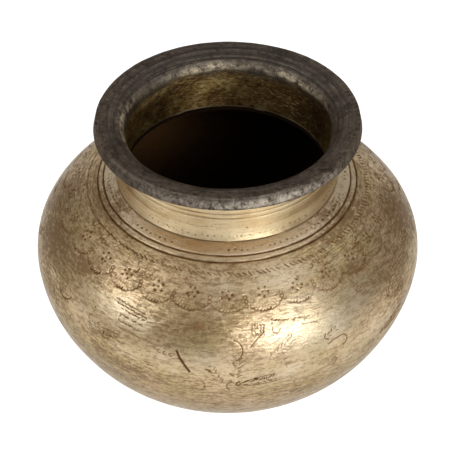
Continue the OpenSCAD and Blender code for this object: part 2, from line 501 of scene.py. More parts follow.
# ---- materials
class Shader:
    """A node material, with short calls for the nodes that it uses."""

    def __init__(self, name):
        self.material = bpy.data.materials.new(name)
        self.material.use_nodes = True
        self.tree = self.material.node_tree
        self.surface = self.tree.nodes["Principled BSDF"]
        self.place = self.put("TexCoord").outputs["Object"]
        self.colour = None

    def paint(self, share, colour):
        """Lays a colour over the base colour so far."""
        self.colour = self.mix(share, self.colour, colour)

    def paint_where(self, value, start, end, strength, colour):
        """Lays a colour where the value runs from start to end."""
        self.paint(self.remap(value, start, end, 0.0, strength), colour)

    def done(self):
        self.set(Base_Color=self.colour)
        return self.material

    def put(self, kind, **inputs):
        node = self.tree.nodes.new("ShaderNode" + kind)
        for name, value in inputs.items():
            self.feed(node.inputs[name.replace("_", " ")], value)
        return node

    def feed(self, socket, value):
        if isinstance(value, bpy.types.NodeSocket):
            self.tree.links.new(value, socket)
        elif isinstance(value, tuple) and len(value) == 3 and socket.type == "RGBA":
            socket.default_value = value + (1.0,)
        else:
            socket.default_value = value

    def set(self, **inputs):
        for name, value in inputs.items():
            self.feed(self.surface.inputs[name.replace("_", " ")], value)

    def attribute(self, name):
        node = self.put("Attribute")
        node.attribute_name = name
        return node.outputs["Fac"]

    def noise(self, scale, detail, roughness, distortion=0.0, vector=None):
        node = self.put("TexNoise", Vector=vector or self.place, Scale=scale, Detail=detail,
                        Roughness=roughness, Distortion=distortion)
        return node.outputs["Fac"]

    def brushed(self, across, along, detail, roughness, distortion=0.0):
        """Noise that changes slowly round the pot and fast along its outline."""
        split = self.put("SeparateXYZ", Vector=self.place)
        parts = [self.times(split.outputs[axis], across) for axis in ("X", "Y")]
        run = self.times(self.attribute("along"), along * MM)
        vector = self.put("CombineXYZ", X=parts[0], Y=parts[1], Z=run).outputs[0]
        return self.noise(1.0, detail, roughness, distortion, vector)

    def math(self, operation, a, b=0.0):
        node = self.put("Math")
        node.operation = operation
        self.feed(node.inputs[0], a)
        self.feed(node.inputs[1], b)
        return node.outputs[0]

    def times(self, a, b):
        return self.math("MULTIPLY", a, b)

    def total(self, *parts):
        """Sum of (value, weight) pairs."""
        sums = [self.times(value, weight) for value, weight in parts]
        while len(sums) > 1:
            sums = [self.math("ADD", sums[0], sums[1])] + sums[2:]
        return sums[0]

    def remap(self, value, low_in, high_in, low_out=0.0, high_out=1.0):
        node = self.put("MapRange")
        node.clamp = True
        for i, part in enumerate((value, low_in, high_in, low_out, high_out)):
            self.feed(node.inputs[i], part)
        return node.outputs[0]

    def mix(self, share, a, b):
        node = self.put("Mix")
        node.data_type = "RGBA"
        self.feed(node.inputs[0], share)
        self.feed(node.inputs[6], a)
        self.feed(node.inputs[7], b)
        return node.outputs[2]

    def ramp(self, value, *stops):
        node = self.put("ValToRGB", Fac=value)
        band = node.color_ramp.elements
        while len(band) < len(stops):
            band.new(0.5)
        for element, (at, colour) in zip(band, stops):
            element.position = at
            element.color = colour + (1.0,)
        return node.outputs["Color"]

    def paint_marks(self):
        """Tarnish in the punched and scribed marks: tan in the faint ones, near black in the deep ones."""
        mark = self.attribute("mark")
        share = self.remap(mark, 0.05, 0.55, 0.0, 0.95)
        self.paint(share, self.mix(self.remap(mark, 0.60, 1.0), MARK_TAN, MARK_DARK))
        return share

    def paint_inside_shade(self):
        """Painted shade over the inside, near black, with a painted pool of light where the inside attribute
        falls towards a half.
        """
        inside = self.attribute("inside")
        share = self.remap(inside, 0.1, 0.5)
        self.paint(share, self.mix(self.remap(inside, 1.0, 0.5), INSIDE_SHADE, INSIDE_LIT))
        return share

    def throat_tarnish(self):
        """Golden-brown tarnish of the throat, flecked dark and bright."""
        broad = self.noise(70.0, 6.0, 0.7, 0.5)
        colour = self.ramp(broad, (0.34, THROAT_DARK), (0.50, THROAT_BROWN), (0.66, THROAT_GOLD))
        # Painted shade on the throat's right.
        colour = self.mix(self.attribute("stain_and_shade"), colour, THROAT_SHADE)
        flecks = self.brushed(320.0, 900.0, 5.0, 0.7)
        colour = self.mix(self.remap(flecks, 0.51, 0.38, 0.0, 0.9), colour, THROAT_FLECK)
        return self.mix(self.remap(flecks, 0.56, 0.68, 0.0, 0.7), colour, RUBBED_GOLD)

    def bump(self, *layers):
        """Bump from (height, strength, distance in m) layers."""
        normal = None
        for height, strength, distance in layers:
            node = self.put("Bump", Height=height, Strength=strength, Distance=distance)
            if normal is not None:
                self.feed(node.inputs["Normal"], normal)
            normal = node.outputs["Normal"]
        self.set(Normal=normal)


OLIVE_GOLD = (0.46, 0.35, 0.168)
WARM_TAN = (0.565, 0.405, 0.232)
PALE_BRASS_AND_HIGHLIGHT = (0.71, 0.605, 0.45)
COPPERY = (0.64, 0.43, 0.225)
STAIN_BROWN = (0.195, 0.118, 0.052)
MARK_TAN = (0.165, 0.085, 0.032)
MARK_DARK = (0.040, 0.018, 0.007)
RUST = (0.23, 0.115, 0.045)
# Painted shade of the inside, and a painted pool of light in it.
INSIDE_SHADE = (0.012, 0.006, 0.0025)
INSIDE_LIT = (0.25, 0.12, 0.043)
THROAT_DARK = (0.13, 0.055, 0.018)
THROAT_BROWN = (0.36, 0.215, 0.066)
THROAT_GOLD = (0.64, 0.46, 0.18)
THROAT_SHADE = (0.06, 0.030, 0.012)
THROAT_FLECK = (0.06, 0.032, 0.014)
RUBBED_GOLD = (0.80, 0.64, 0.34)
NECK_GOLD = (0.62, 0.46, 0.25)
NECK_PALE = (0.78, 0.63, 0.39)
NECK_STAIN_AND_SHADE = (0.34, 0.21, 0.095)
LIP_DARK = (0.062, 0.048, 0.038)
LIP_GREY = (0.128, 0.101, 0.078)
LIP_PALE = (0.15, 0.125, 0.10)
LIP_SCRATCH = (0.22, 0.185, 0.15)
LIP_GRAIN = (0.29, 0.24, 0.18)
LIP_PIT = (0.018, 0.013, 0.009)
LIP_MARK_AND_SHADE = (0.03, 0.025, 0.022)
FILED_HIGHLIGHT_GREY = (0.43, 0.37, 0.30)
UNDER_GOLD = (0.62, 0.46, 0.27)
WORN_HIGHLIGHT_GOLD = (0.70, 0.58, 0.40)
SOLDER_DARK = (0.06, 0.028, 0.013)
SOLDER_BROWN = (0.16, 0.08, 0.035)
SOLDER_RUBBED = (0.72, 0.58, 0.37)


def body_brass():
    """Hammered brass, brushed round the pot, with brown tarnish, painted highlights, dark marks and painted
    shade over the inside.
    """
    s = Shader("body_brass")
    patches = s.noise(30.0, 4.0, 0.55, 0.3)
    s.colour = s.ramp(patches, (0.38, OLIVE_GOLD), (0.62, WARM_TAN))
    clouds = s.noise(75.0, 5.0, 0.6, 0.4)
    s.paint_where(clouds, 0.50, 0.70, 0.38, PALE_BRASS_AND_HIGHLIGHT)
    # Painted highlight and bare brass: pale brass where the bare attribute is set.
    s.paint(s.times(s.attribute("bare_and_highlight"), 0.75), PALE_BRASS_AND_HIGHLIGHT)
    s.paint(s.times(s.attribute("copper"), 0.6), COPPERY)
    streaks = s.brushed(230.0, 1000.0, 4.0, 0.62)
    mottle = s.brushed(90.0, 170.0, 6.0, 0.70, 0.6)
    grain = s.noise(520.0, 3.0, 0.65)
    # Tarnish is thinner under the painted highlights, and the stain attribute adds stains and painted shade.
    tarnish = s.total((streaks, 0.62), (grain, 0.46), (mottle, 0.32), (clouds, -0.14),
                      (s.attribute("stain_and_shade"), 0.30), (s.attribute("bare_and_highlight"), -0.22))
    share = s.remap(tarnish, 0.57, 0.78, 0.0, 0.95)
    s.paint(share, STAIN_BROWN)
    bands = s.brushed(150.0, 480.0, 3.0, 0.6, 0.3)
    spread = s.remap(s.attribute("bare_and_highlight"), 0.0, 0.8, 0.65, 0.12)
    s.paint(s.times(s.remap(bands, 0.50, 0.63), spread), STAIN_BROWN)
    rust = s.noise(190.0, 5.0, 0.72)
    rusty = s.times(s.remap(rust, 0.54, 0.66), s.remap(s.attribute("stain_and_shade"), 0.0, 0.4, 0.25, 0.7))
    s.paint(rusty, RUST)
    specks = s.noise(800.0, 2.0, 0.6)
    s.paint_where(specks, 0.60, 0.74, 0.55, STAIN_BROWN)
    mark = s.paint_marks()
    inside = s.paint_inside_shade()
    dull = s.math("MAXIMUM", mark, share)
    plain = s.math("MAXIMUM", s.times(dull, 0.2), inside)
    s.set(Metallic=s.remap(plain, 0.0, 1.0, 1.0, 0.25))
    rough = s.math("ADD", s.remap(streaks, 0.3, 0.7, 0.27, 0.38), s.times(share, 0.16))
    rough = s.math("ADD", rough, s.times(s.math("MAXIMUM", mark, inside), 0.3))
    clean = s.math("SUBTRACT", 1.0, s.math("MAXIMUM", mark, inside))
    s.set(Roughness=rough, Coat_Weight=s.times(clean, 0.25), Coat_Roughness=0.24)
    s.set(Specular_Tint=(0.54, 0.51, 0.48), Specular_IOR_Level=0.15)
    brushed = s.brushed(420.0, 2400.0, 3.0, 0.7)
    s.bump((streaks, 0.45, 0.0005), (brushed, 0.35, 0.0003), (specks, 0.15, 0.0003))
    return s.done()


def neck_brass():
    """Turned brass, worn bright outside and tarnished golden brown inside."""
    s = Shader("neck_brass")
    clouds = s.noise(60.0, 4.0, 0.6)
    s.colour = s.ramp(clouds, (0.35, NECK_GOLD), (0.62, NECK_PALE))
    turned = s.brushed(90.0, 1700.0, 4.0, 0.62)
    s.paint_where(turned, 0.50, 0.32, 0.35, STAIN_BROWN)
    specks = s.noise(700.0, 3.0, 0.65)
    s.paint_where(specks, 0.58, 0.72, 0.5, STAIN_BROWN)
    # Stain and painted shade at the neck's ends.
    s.paint(s.attribute("stain_and_shade"), NECK_STAIN_AND_SHADE)
    s.paint(s.attribute("inside"), s.throat_tarnish())
    mark = s.paint_marks()
    s.set(Metallic=s.remap(mark, 0.0, 1.0, 1.0, 0.4))
    s.set(Roughness=s.total((s.remap(clouds, 0.3, 0.7, 0.28, 0.36), 1.0), (s.attribute("inside"), 0.1),
                            (mark, 0.3)))
    s.set(Coat_Weight=0.2, Coat_Roughness=0.2, Anisotropic=0.7, Anisotropic_Rotation=0.25)
    s.set(Specular_Tint=(0.5, 0.45, 0.4))
    round_z = s.put("Tangent")
    round_z.direction_type = "RADIAL"
    round_z.axis = "Z"
    s.set(Tangent=round_z.outputs[0])
    s.bump((turned, 0.35, 0.0004), (specks, 0.2, 0.0003))
    return s.done()


def lip_bronze():
    """Cast bronze under a dark patina, with turned scratches, a filed face and a worn inner edge, both with
    painted highlights, and painted shade at the back and sides.
    """
    s = Shader("lip_bronze")
    clouds = s.noise(75.0, 5.0, 0.65, 0.3)
    s.colour = s.ramp(clouds, (0.34, LIP_DARK), (0.55, LIP_GREY), (0.74, LIP_PALE))
    turned = s.brushed(70.0, 1300.0, 4.0, 0.65)
    s.paint_where(turned, 0.54, 0.72, 0.4, LIP_SCRATCH)
    grain = s.noise(380.0, 6.0, 0.75)
    s.paint_where(grain, 0.54, 0.66, 0.45, LIP_GRAIN)
    s.paint_where(grain, 0.47, 0.36, 0.8, LIP_PIT)
    chips = s.noise(190.0, 3.0, 0.6)
    bright = s.remap(s.total((grain, 0.5), (chips, 0.5)), 0.40, 0.62, 0.05, 1.0)
    # Filed face, with a painted highlight at the front.
    filed_highlight = s.times(s.attribute("face"), bright)
    s.paint(filed_highlight, FILED_HIGHLIGHT_GREY)
    s.paint(s.attribute("under"), UNDER_GOLD)
    # Worn inner edge, with painted highlights.
    broken = s.remap(s.noise(260.0, 6.0, 0.8), 0.42, 0.56)
    worn_and_highlight = s.times(s.attribute("worn_and_highlight"), broken)
    s.paint(worn_and_highlight, WORN_HIGHLIGHT_GOLD)
    s.paint(s.attribute("inside"), s.throat_tarnish())
    # Marks, and painted shade on the back of the top and the face's sides.
    mark = s.remap(s.attribute("mark"), 0.12, 0.8)
    s.paint(mark, LIP_MARK_AND_SHADE)
    s.set(Metallic=s.remap(mark, 0.0, 1.0, 0.92, 0.6), Specular_Tint=(0.42, 0.36, 0.30))
    s.set(Roughness=s.math("ADD", s.remap(clouds, 0.3, 0.7, 0.34, 0.48), s.times(mark, 0.2)))
    s.bump((turned, 0.6, 0.0006), (grain, 0.6, 0.0006))
    return s.done()


def braze():
    """Dark tarnished solder, with clean brass where it is rubbed."""
    s = Shader("braze")
    clouds = s.noise(300.0, 4.0, 0.6)
    s.colour = s.ramp(clouds, (0.35, SOLDER_DARK), (0.65, SOLDER_BROWN))
    s.paint(s.attribute("bridge"), SOLDER_RUBBED)
    # Painted shade over the inside rows.
    inside = s.paint_inside_shade()
    s.set(Roughness=s.remap(inside, 0.0, 1.0, 0.4, 0.7))
    s.set(Metallic=s.remap(inside, 0.0, 1.0, 0.9, 0.25), Specular_IOR_Level=0.15)
    s.bump((s.noise(900.0, 4.0, 0.6), 0.4, 0.0003))
    return s.done()


# ---- shape of the hammered sheet
def hammered(turned, rows):
    """Push along the normal, in mm, of a hand-hammered surface. The same place gives the same push."""
    push = 0.34 * turned.dents(rows, 46.0, 3) + 0.085 * turned.dents(rows, 15.0, 4)
    push += 0.02 * turned.dents(rows, 5.0, 5)
    turn = np.radians(turned.angles)
    upper = smooth(turned.outline[rows, 1, None], 80, 110)
    return push + 1.0 * np.maximum(0, np.sin(turn)) ** 3 + 0.4 * upper * np.maximum(0, -np.sin(turn)) ** 3


def smooth(value, start, end):
    """From 0 at start to 1 at end, eased at both."""
    t = np.clip((value - start) / (end - start), 0, 1)
    return t * t * (3 - 2 * t)


def blob_round(angles, angle, width):
    """A soft spot from 0 to 1 round a circle. Angles and width are in degrees."""
    return np.exp(-(((angles - angle + 180) % 360 - 180) / width) ** 2)


def blob(turned, along, angle, place, width, height):
    """A soft spot from 0 to 1 on a surface. width is in degrees and height in mm."""
    return np.outer(np.exp(-((along - place) / height) ** 2), blob_round(turned.angles, angle, width))


def spotted(turned, along, spots):
    """The strongest of some soft spots, each (angle, place, width, height, strength)."""
    return np.max([strength * blob(turned, along, *spot) for *spot, strength in spots], axis=0)


def seam_line(turned, along, start, end):
    """The dark line that fades out from the neck's seam, broken where the solder bridges it."""
    return np.outer(1 - smooth(along, start, end), 1 - bridges(turned.angles))


# Spots: (angle, distance along, width in degrees, height in mm, strength).
# Stains; the first two, beside the neck's ends, are painted shade under the lip, with some stain.
STAINS_AND_SHADE = (
    (-66, 6, 18, 10, 1.0), (58, 6, 18, 10, 0.95), (-74, 48, 14, 13, 0.55), (-88, 36, 12, 18, 0.45),
    (-14, 47, 11, 5, 0.45), (-30, 84, 10, 6, 0.4), (46, 36, 10, 4, 0.4), (84, 44, 12, 17, 0.55),
    (66, 52, 12, 12, 0.35), (-54, 40, 9, 6, 0.5), (-5, 31, 14, 7, 0.15), (-62, 66, 8, 6, 0.35),
    (62, 80, 14, 8, 0.25), (-38, 66, 8, 4, 0.3), (130, 40, 18, 14, 0.5), (175, 55, 16, 16, 0.5),
    (-135, 44, 17, 14, 0.5))
# Bare brass and painted highlights: pale patches where the lamps' highlights fall, and worn spots.
BARE_AND_HIGHLIGHT_PATCHES = (
    (27, 56, 19, 13, 0.75), (27, 38, 12, 6, 0.5), (15, 77, 15, 8, 0.5), (-46, 62, 9, 6, 0.35),
    (20, 22, 11, 12, 0.6), (-34, 50, 15, 9, 0.5), (-8, 68, 22, 9, 0.4), (44, 74, 18, 9, 0.4),
    (8, 26, 16, 6, 0.3), (90, 70, 18, 10, 0.4), (150, 56, 20, 12, 0.5), (-110, 62, 18, 12, 0.5))
BOWL_STAINS = (
    (-36, 8, 9, 6, 0.35), (20, 8, 1.5, 4, 0.5), (100, 20, 20, 12, 0.6), (-120, 25, 18, 14, 0.6),
    (180, 18, 20, 10, 0.5))


# ---- pieces
def spread_along(turned):
    """Gives every row its distance round the outline, for the brushed lines."""
    lengths = np.hypot(*(turned.outline - np.roll(turned.outline, 1, axis=0)).T)
    lengths[0] = 0
    turned.layer("along")[:] = np.cumsum(lengths)[:, None]


def shoulder(material):
    """The hammered dome, from the neck to below the widest circle, with its decoration."""
    inner = evenly(INSIDE_STEP, bowl_outline(BELLY_Z - 0.01, UPPER_SEAM_Z, WALL)[::-1],
                   dome_outline(THROAT_R, WALL)[::-1])
    outer = evenly(0.45, dome_outline(FOOT_R), bowl_outline(BELLY_Z - 0.01, UPPER_SEAM_Z))
    seat = evenly(1.0, [(THROAT_R, seat_z(THROAT_R)), (FOOT_R, seat_z(FOOT_R))])
    edge = evenly(1.0, [outer[-1], inner[0]])
    hole = evenly(1.0, [inner[-1], seat[0]])
    t = Turned(SHOULDER_COLUMNS, seat=seat[:-1], outer=outer, edge=edge[1:-1], inner=inner, hole=hole[1:-1])
    spread_along(t)
    rows = t.rows["outer"]
    along = t.measure("outer")
    fade = smooth(along, 0.5, 16.0)[:, None]
    t.out[rows] += hammered(t, rows) * fade
    marks = Relief(t, "outer")
    gouge = [(0, 0), (1.6, 3.4), (4.8, 8.2), (7.2, 11.7)]
    marks.stroke(-14.2, 61.3, gouge, 0.72, 0.6)
    medallion(marks, 8.4, 80.0)
    marks.wear = 0.75 + 0.25 * smooth(t.dents(rows, 24.0, 11), -0.55, 0.35)
    decorate_shoulder(marks)
    marks.apply()
    # Stains, and painted shade beside the neck's ends.
    t.layer("stain_and_shade")[rows] = spotted(t, along, STAINS_AND_SHADE)
    # Painted light: the band under the neck is lightened against the lip's shade, most towards 20 degrees.
    lit_near_neck = np.outer(1 - smooth(along, 7, 14), 0.8 + 0.5 * blob_round(t.angles, 20, 26))
    t.layer("bare_and_highlight")[rows] = np.maximum(spotted(t, along, BARE_AND_HIGHLIGHT_PATCHES), lit_near_neck)
    t.layer("copper")[rows] = copper_band(t, along)
    t.raise_layer("mark", rows, 0.45 * seam_line(t, along, 0.1, 0.8))
    darken_inside(t)
    weight = np.ones(len(t.outline))
    for name in ("seat", "edge", "inner", "hole"):
        weight[t.rows[name]] = 0.25
    t.build("shoulder_shell_brass", "shoulder_shell", material, strips=3, row_weight=weight)


def darken_inside(t):
    """Marks the inner wall for painted shade, with one patch of painted light where light from the mouth
    reaches.
    """
    z = t.outline[t.rows["inner"], 1]
    # Painted pool of light on the inner wall, where light through the mouth falls.
    lit_patch = np.outer(np.exp(-((z - 96) / 26) ** 2), blob_round(t.angles, -148, 20))
    t.fill("inside", "inner", 1 - 0.5 * lit_patch)
    for hidden in ("seat", "edge", "hole"):
        if hidden in t.rows:
            t.fill("inside", hidden)


def copper_band(t, along):
    """The reddish tint between the neck's foot and the scribed rings."""
    band = 1 - smooth(along, 6.8, 8.6)
    patch = 0.06 + 0.2 * ring_noise(t.angles, 24, 31) + 0.85 * blob_round(t.angles, -17, 24)
    return np.outer(band, np.clip(patch, 0, 1))


def decorate_shoulder(m):
    """The bands from the neck downwards."""
    for ring, seed in zip(RING_ALONG, (41, 51)):
        m.ring_groove(ring, 0.54, 0.45, 0.28, seed, 0.9)
    dot_row(m, DOTS_ALONG, 3.3, 0.66, 0.34, DOT_SPANS)
    dash_row(m, DASHES_ALONG, 2.6, 2.6, 36, 0.40, 0.26, 0.9)
    scrolls(m, 230)
    for patch in ((33, 24, 26, 6, 34), (52, 26, 16, 5, 18), (-60, 22, 26, 5, 30), (-30, 26, 14, 4, 14)):
        ripples(m, *patch)
    garland(m)
    lower_register(m)
    pits(m, 240, (22, 88), (0.3, 0.6), (0.3, 0.9))
    scratches(m, 420)
    edge_nicks(m, 190)


def scrolls(m, count):
    """A row of faint little curls, at all angles."""
    for i in range(count):
        angle = -TURN / 2 + TURN * (i + around(0, 0.15)) / count
        mark = bend((0, 0), 0.8, between(0, 360), between(110, 230), 7)
        place = SCROLLS_ALONG + around(0, 0.9)
        m.stroke(angle, place, mark, 0.32, 0.2 * between(0.3, 1.1), between(0.1, 0.5))


def pits(m, count, along, width, dark):
    """Single small dents anywhere round the pot."""
    for _ in range(count):
        m.stroke(between(-180, 180), between(*along), [(0, 0)], between(*width),
                 between(0.05, 0.2), between(*dark))


def scratches(m, count):
    """Faint curved scratches over the lower part of the decoration."""
    for _ in range(count):
        path = turned_path(bend((0, 0), between(0.8, 2.4), 0, between(60, 150)), between(0, 360))
        m.stroke(between(-180, 180), between(42, 86), path, 0.32, between(0.04, 0.14), between(0.1, 0.5))


def edge_nicks(m, count):
    """A broken line where the decoration ends."""
    for i in range(count):
        m.stroke(-TURN / 2 + TURN * i / count, EDGE_NICKS_ALONG + around(0, 0.3), [(-0.4, 0), (0.4, 0)], 0.3,
                 0.1 * rng.random(), 0.5 * rng.random())


def ripples(m, angle, along, width, height, count):
    """A patch of overlapping little waves."""
    for _ in range(count):
        x, y = between(-width / 2, width / 2), between(-height / 2, height / 2)
        wave = turned_path(bend((0, 0), between(0.8, 1.6), 10, 150), around(0, 25))
        wave = wave + np.array([x, y - 0.12 * x])
        m.stroke(angle, along, wave, 0.32, 0.16 * between(0.4, 1.2), between(0.2, 0.7))


def garland(m):
    """Flowers over hanging scallops, all the way round."""
    count = 30
    phase = [0.5 + TURN / count * k - TURN / 2 for k in range(count + 1)]
    at = [p - 1.9 * (1 - math.cos(math.radians(p - 30))) for p in phase]
    for k in range(count):
        angle = at[k] + around(0, 0.4)
        flower(m, angle, FLOWERS_ALONG + around(0, 0.5), 5 + int(rng.random() < 0.4), 2.7, 0.78, 0.36)
        half = (at[k + 1] - at[k]) / 2
        scallop(m, at[k] - half, at[k] + half, CUSPS_ALONG + around(0, 0.3), SCALLOPS_ALONG + around(0, 0.3),
                11, 0.25, between(0.70, 0.95), rays=rng.random() < 0.5)


def lower_register(m):
    """Worn sprigs, curls and hatched leaves under the garland: listed one by one in front, then all round."""
    for row, drop in enumerate((0, 1.9, 3.8)):
        hatch(m, -36 + row, 43.9 + drop, 21 - 2 * row, 0.6, 1, 16)
    for block in ((-33, 51, 14, 7, 3, 25, 0.16), (7.4, 45.3, 6.5, 5.2, 4, 60),
                  (15, 44.8, 19, 0.5, 1, -8, 0.14), (23, 50, 9, 1.0, 1, 8, 0.12)):
        hatch(m, *block)
    leaf(m, 15.4, 61.0, 17, 6.0, -34, 0.18, 0.5)
    for twig in ((2.0, 80, 17, -84, 9, 0.26, 3.2), (-1.5, 80, 13, -118, 7, 0.2, 2.8),
                 (28, 62, 10, -20, 4, 0.16), (-44, 61, 9, 12, 4, 0.2), (-38, 68, 10, -30, 5, 0.18)):
        sprig(m, *twig)
    for arc in ((1.0, 59, 6.3, -75, 140, 0.2, 0.75), (34.2, 66.8, 3.0, -95, 190, 0.22, 0.8),
                (-8.5, 83.5, 4.6, -60, 120, 0.18, 0.6), (2.2, 83, 4.4, 125, 120, 0.18, 0.6),
                (30.5, 79, 3.2, -60, 110, 0.15, 0.6), (-55.5, 57, 6.5, 20, 150)):
        curl(m, *arc)
    for k, angle in enumerate((-19.2, -17.6, -15.8)):
        curl(m, angle, 63.5 + 0.4 * k, 0.9, 30, 260, 0.16, 0.6)
    m.stroke(11, 49.5, [(0, 0), (-4, 3.5), (-8, 8)], 0.36, 0.16, 0.55)
    m.stroke(34.2, 63.8, [(0, 0), (-5, 0.4), (-9, 2.0)], 0.36, 0.2, 0.7)
    for start in range(50, 285, 27):
        figures(m, start + between(-3, 3))


def figures(m, angle):
    """One group of the lower register's figures, with its own spacing."""
    hatch(m, angle - 8, 45 + between(-1, 2), between(8, 18), between(1, 4), 3, between(10, 60), 0.17)
    sprig(m, angle + between(-4, 4), 64 + between(-5, 5), between(9, 16), between(-100, -20),
          int(rng.integers(4, 8)), 0.18)
    curl(m, angle + between(2, 8), 60 + between(-6, 10), between(3.5, 6.5), between(-90, 90), 130, 0.18, 0.6)
    curl(m, angle - 6, 82 + between(-3, 3), between(3, 5), between(0, 360), 120, 0.16, 0.55)
    if rng.random() < 0.5:
        medallion(m, angle + 4, 80)
    leaf(m, angle + 9, 62 + between(-3, 3), between(12, 18), 4, between(-50, 0), 0.2, 0.7)


def medallion(m, angle, along):
    """A leaf with a deep punch over it and a small curl at its tip."""
    leaf(m, angle, along, 20, 6.4, -9, 0.28, 1.0)
    m.stroke(angle - 0.6, along - 2.4, [(0, 0), (0.8, 0.3)], 1.0, 0.34, 1.0)
    curl(m, angle - 5, along + 1.2, 1.6, 90, 190, 0.24, 0.9)


def collar(material):
    """The turned neck, from its flared foot up to the lip."""
    bottom = seat_z(FOOT_R) + BRAZE_H
    foot = ease_outline((FOOT_R, bottom), (NECK_R + 0.5, bottom + 3), (NECK_R, bottom + 7))
    outer = evenly(0.4, foot, [(NECK_R, NECK_TOP_Z)])
    under = evenly(1.0, [(THROAT_R, seat_z(THROAT_R) + BRAZE_H), outer[0]])
    top = evenly(1.2, [outer[-1], (THROAT_R, NECK_TOP_Z)])
    inner = evenly(1.0, [top[-1], under[0]])
    t = Turned(COLLAR_COLUMNS, under=under[:-1], outer=outer, top=top[1:-1], inner=inner[:-1])
    spread_along(t)
    rows, along = t.rows["outer"], t.measure("outer")
    height = t.outline[rows, 1]
    marks = Relief(t, "outer")
    for k, z in enumerate(NECK_GROOVES_Z):
        marks.ring_groove(float(np.interp(z, height, along)), 0.42, 0.26, 0.16, 71 + 10 * k, 0.38)
    dots_along = float(np.interp(NECK_DOTS_Z, height, along))
    dot_row(marks, dots_along, 3.6, 0.46, 0.24, ((-40, 14), (16, 44), (60, 130), (150, 300)), 0.3, 0.8)
    pits(marks, 60, (2, 15), (0.25, 0.5), (0.3, 0.8))
    marks.apply()
    t.out[rows] += 0.10 * t.dents(rows, 22.0, 8)
    lift = GAP_LIFT * blob_round(t.angles, GAP_ANGLE, 11) + 0.12 * ring_noise(t.angles, 16, 9)
    reach = 1 - smooth(height, bottom, bottom + 7)
    t.shift[rows, :, 2] += np.outer(reach, lift)
    t.shift[t.rows["under"], :, 2] += np.outer(np.linspace(0, 1, t.rows["under"].stop), lift)
    t.raise_layer("mark", rows, 0.4 * seam_line(t, along, 0.0, 0.5))
    # Painted shade, with some stain, on the neck's left and right ends and on its back.
    ends = blob_round(t.angles, -68, 20) + blob_round(t.angles, 60, 20) + 0.5 * blob_round(t.angles, 170, 30)
    t.layer("stain_and_shade")[rows] = 0.75 * ends
    t.fill("inside", "inner")
    t.fill("inside", "top")
    shift_throat(t, "inner")
    lean(t)
    t.build("neck_collar_brass", "neck_collar", material, strips=3)


def lean(t):
    """The neck and the lip were joined a little off centre, and a little higher on the +X side."""
    upper = smooth(t.outline[:, 1, None], 141, 160)
    t.shift[:, :, 0] += 0.4 * upper
    t.shift[:, :, 2] += (0.2 + 0.010 * t.points()[:, :, 0]) * upper


def shift_throat(t, name):
    """The throat's wall lies a little off centre towards its top, uneven, and with painted shade on its
    right.
    """
    rows = t.rows[name]
    z = t.outline[rows, 1]
    # Painted shade on the throat's right, below the lip's top.
    t.layer("stain_and_shade")[rows] = 0.75 * np.outer(1 - smooth(z, 167, 171), blob_round(t.angles, 120, 40))
    upper = smooth(z, seat_z(THROAT_R), NECK_TOP_Z)
    outwards = 1 - smooth(t.outline[rows, 0], THROAT_R + 2, LIP_R - 2)
    t.shift[rows, :, 0] += (0.6 * upper * outwards)[:, None]
    t.out[rows] += 0.12 * t.dents(rows, 14.0, 6)


def lip(material):
    """The cast lip: rolled mouth and top, filed face, and a hollow under it down to the neck."""
    edge_low = (LIP_R - LIP_EDGE_R, LIP_TOP_Z - LIP_FACE_H)
    edge_high = (LIP_R - LIP_LEAN - LIP_EDGE_R, LIP_TOP_Z - LIP_EDGE_R)
    mouth = (THROAT_R + MOUTH_ROUND, LIP_TOP_Z - LIP_DISH - MOUTH_ROUND)
    top = evenly(0.55, [(THROAT_R, NECK_TOP_Z)], arc_outline(mouth, MOUTH_ROUND, 180, 90),
                 [(edge_high[0], LIP_TOP_Z)])
    face = evenly(0.4, arc_outline(edge_high, LIP_EDGE_R, 90, 10), arc_outline(edge_low, LIP_EDGE_R, 10, -90))
    quarter = np.radians(np.linspace(90, 0, 30))
    reach, rise = edge_low[0] - NECK_R, edge_low[1] - LIP_EDGE_R - NECK_TOP_Z
    hollow = np.stack([NECK_R + reach * (1 - np.cos(quarter)), NECK_TOP_Z + rise * np.sin(quarter)], axis=1)
    under = evenly(0.8, hollow)
    joint = evenly(1.2, [under[-1], top[0]])
    t = Turned(LIP_COLUMNS, top=top[:-1], face=face, under=under[1:], joint=joint[1:-1])
    spread_along(t)
    marks = Relief(t, "face")
    for _ in range(260):
        start = between(0.8, 5.5)
        path = turned_path([(0, 0), (between(0.6, 3.2), 0)], 90 + around(0, 40))
        marks.stroke(between(-180, 180), start, path, between(0.3, 0.6), between(0.03, 0.12),
                     between(0.1, 0.55))
    marks.apply()
    rings = Relief(t, "top")
    span = float(rings.along[-1])
    for k in range(11):
        rings.ring_groove(span * (0.50 + 0.045 * k) + around(0, 0.3), between(0.3, 0.6),
                          0.14 * between(0.3, 1.2), 0.3, 101 + 3 * k, between(0.25, 0.6))
    rings.apply()
    # Painted shade over the back of the lip's top.
    t.layer("mark")[t.rows["top"]] += 0.27 * blob_round(t.angles, 178, 75)
    outer_part = smooth(t.outline[:, 0], THROAT_R + 6, LIP_R - 1)
    t.shift[:, :, 2] += 0.18 * np.outer(outer_part, ring_noise(t.angles, 5, 14))
    t.out[t.rows["face"]] += 0.16 * ring_noise(t.angles, 9, 12) + 0.06 * ring_noise(t.angles, 60, 13)
    t.out[t.rows["top"]] += 0.11 * t.dents(t.rows["top"], 8.0, 15) + 0.04 * t.dents(t.rows["top"], 3.0, 19)
    tarnish_lip(t)
    shift_throat(t, "top")
    lean(t)
    t.build("mouth_rim_bronze", "mouth_rim", material, strips=4)


